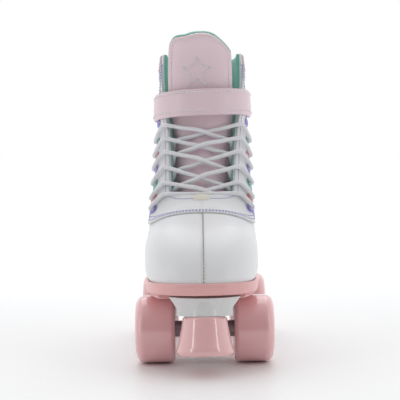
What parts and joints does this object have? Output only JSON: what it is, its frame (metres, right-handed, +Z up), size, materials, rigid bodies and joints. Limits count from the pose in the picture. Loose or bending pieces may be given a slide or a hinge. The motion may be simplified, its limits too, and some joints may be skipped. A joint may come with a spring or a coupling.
{
  "type": "quad roller skate",
  "caption": "High laced boot with an ankle strap on a plate with sprung steering trucks, free-rolling wheels and a front stopper.",
  "frame": {"origin": "centre of the footprint at floor level, with the wheels on z = 0", "axes": "+Z up, toe towards -Y, +X towards the outer side of this left skate"},
  "size_m": [0.1108, 0.2494, 0.2714],
  "materials": {
    "white_leather": "smooth white synthetic leather, satin",
    "pink_leather": "pale pink synthetic leather, satin",
    "mint_fabric": "mint brushed lining cloth",
    "cream_leather": "cream tape, matt",
    "footbed_fabric": "pale cloth-topped foam",
    "fibre_board": "pressed fibre board",
    "steel": "zinc-plated steel",
    "pink_sole": "pink moulded rubber, satin",
    "eyelet_lilac": "lilac enamelled",
    "eyelet_coral": "coral enamelled",
    "eyelet_mint": "mint enamelled",
    "white_lace": "white round braid",
    "lace_tip": "clear-coated white tip",
    "hook_tape": "hook-and-loop tape",
    "white_plate": "glossy white nylon",
    "pink_stop": "glossy pink polyurethane",
    "cushion_rubber": "pale polyurethane",
    "grey_casting": "grey-mauve cast metal, satin",
    "pink_wheel": "glossy pink polyurethane",
    "wheel_hub": "pale pink moulded core"
  },
  "bodies": {
    "boot": {"vamp_left": "white_leather", "vamp_right": "white_leather", "quarter_left": "white_leather", "quarter_right": "white_leather", "lace_facing_left": "white_leather", "lace_facing_right": "white_leather", "backstay": "white_leather", "collar_trim": "pink_leather", "lining_left": "mint_fabric", "lining_right": "mint_fabric", "tongue": "pink_leather", "tongue_lining": "mint_fabric", "throat_tab": "cream_leather", "footbed": "footbed_fabric", "insole_board": "fibre_board", "shank": "steel", "outsole": "pink_sole", "eyelets_lilac": "eyelet_lilac", "eyelets_coral": "eyelet_coral", "eyelets_mint": "eyelet_mint", "lace": "white_lace", "lace_tips": "lace_tip", "strap_loop_patch": "hook_tape", "strap_anchor": "pink_leather", "plate": "white_plate", "mounting_bolts": "steel", "mounting_nuts": "steel", "toe_stop": "pink_stop", "toe_stop_bolt": "steel", "toe_stop_nut": "steel", "kingpin_front": "steel", "kingpin_rear": "steel", "kingpin_nuts": "steel", "cushions_front": "cushion_rubber", "cushions_rear": "cushion_rubber", "cushion_washers": "steel", "pivot_cups": "white_plate"},
    "strap": {"strap": "pink_leather", "strap_hook_patch": "hook_tape"},
    "front_truck": {"hanger_front": "grey_casting", "axle_front": "steel", "axle_nuts_front": "steel", "bearing_inner_races_front": "steel"},
    "rear_truck": {"hanger_rear": "grey_casting", "axle_rear": "steel", "axle_nuts_rear": "steel", "bearing_inner_races_rear": "steel"},
    "wheel_front_left": {"tyre_front_left": "pink_wheel", "hub_front_left": "wheel_hub", "bearings_front_left": "steel"},
    "wheel_front_right": {"tyre_front_right": "pink_wheel", "hub_front_right": "wheel_hub", "bearings_front_right": "steel"},
    "wheel_rear_left": {"tyre_rear_left": "pink_wheel", "hub_rear_left": "wheel_hub", "bearings_rear_left": "steel"},
    "wheel_rear_right": {"tyre_rear_right": "pink_wheel", "hub_rear_right": "wheel_hub", "bearings_rear_right": "steel"}
  },
  "joints": [
    {"name": "front_truck_steer", "type": "hinge", "parent": "boot", "child": "front_truck", "pos_m": [0, -0.0341, 0.033], "axis": [0, 0.9062, -0.4229], "range_deg": [-4, 4], "stiffness_Nm_per_rad": 40, "deforming": ["cushions_front"]},
    {"name": "rear_truck_steer", "type": "hinge", "parent": "boot", "child": "rear_truck", "pos_m": [0, 0.0739, 0.033], "axis": [0, -0.9062, -0.4229], "range_deg": [-4, 4], "stiffness_Nm_per_rad": 40, "deforming": ["cushions_rear"]},
    {"name": "strap_open", "type": "hinge", "parent": "boot", "child": "strap", "pos_m": [-0.0383, 0.04396, 0.20498], "axis": [-0.0445, -0.1251, -0.9911], "range_deg": [0, 115]},
    {"name": "wheel_front_left_spin", "type": "hinge", "parent": "front_truck", "child": "wheel_front_left", "pos_m": [-0.0394, -0.0501, 0.027], "axis": [1, 0, 0], "continuous": true},
    {"name": "wheel_front_right_spin", "type": "hinge", "parent": "front_truck", "child": "wheel_front_right", "pos_m": [0.0394, -0.0501, 0.027], "axis": [1, 0, 0], "continuous": true},
    {"name": "wheel_rear_left_spin", "type": "hinge", "parent": "rear_truck", "child": "wheel_rear_left", "pos_m": [-0.0394, 0.0899, 0.027], "axis": [1, 0, 0], "continuous": true},
    {"name": "wheel_rear_right_spin", "type": "hinge", "parent": "rear_truck", "child": "wheel_rear_right", "pos_m": [0.0394, 0.0899, 0.027], "axis": [1, 0, 0], "continuous": true}
  ]
}
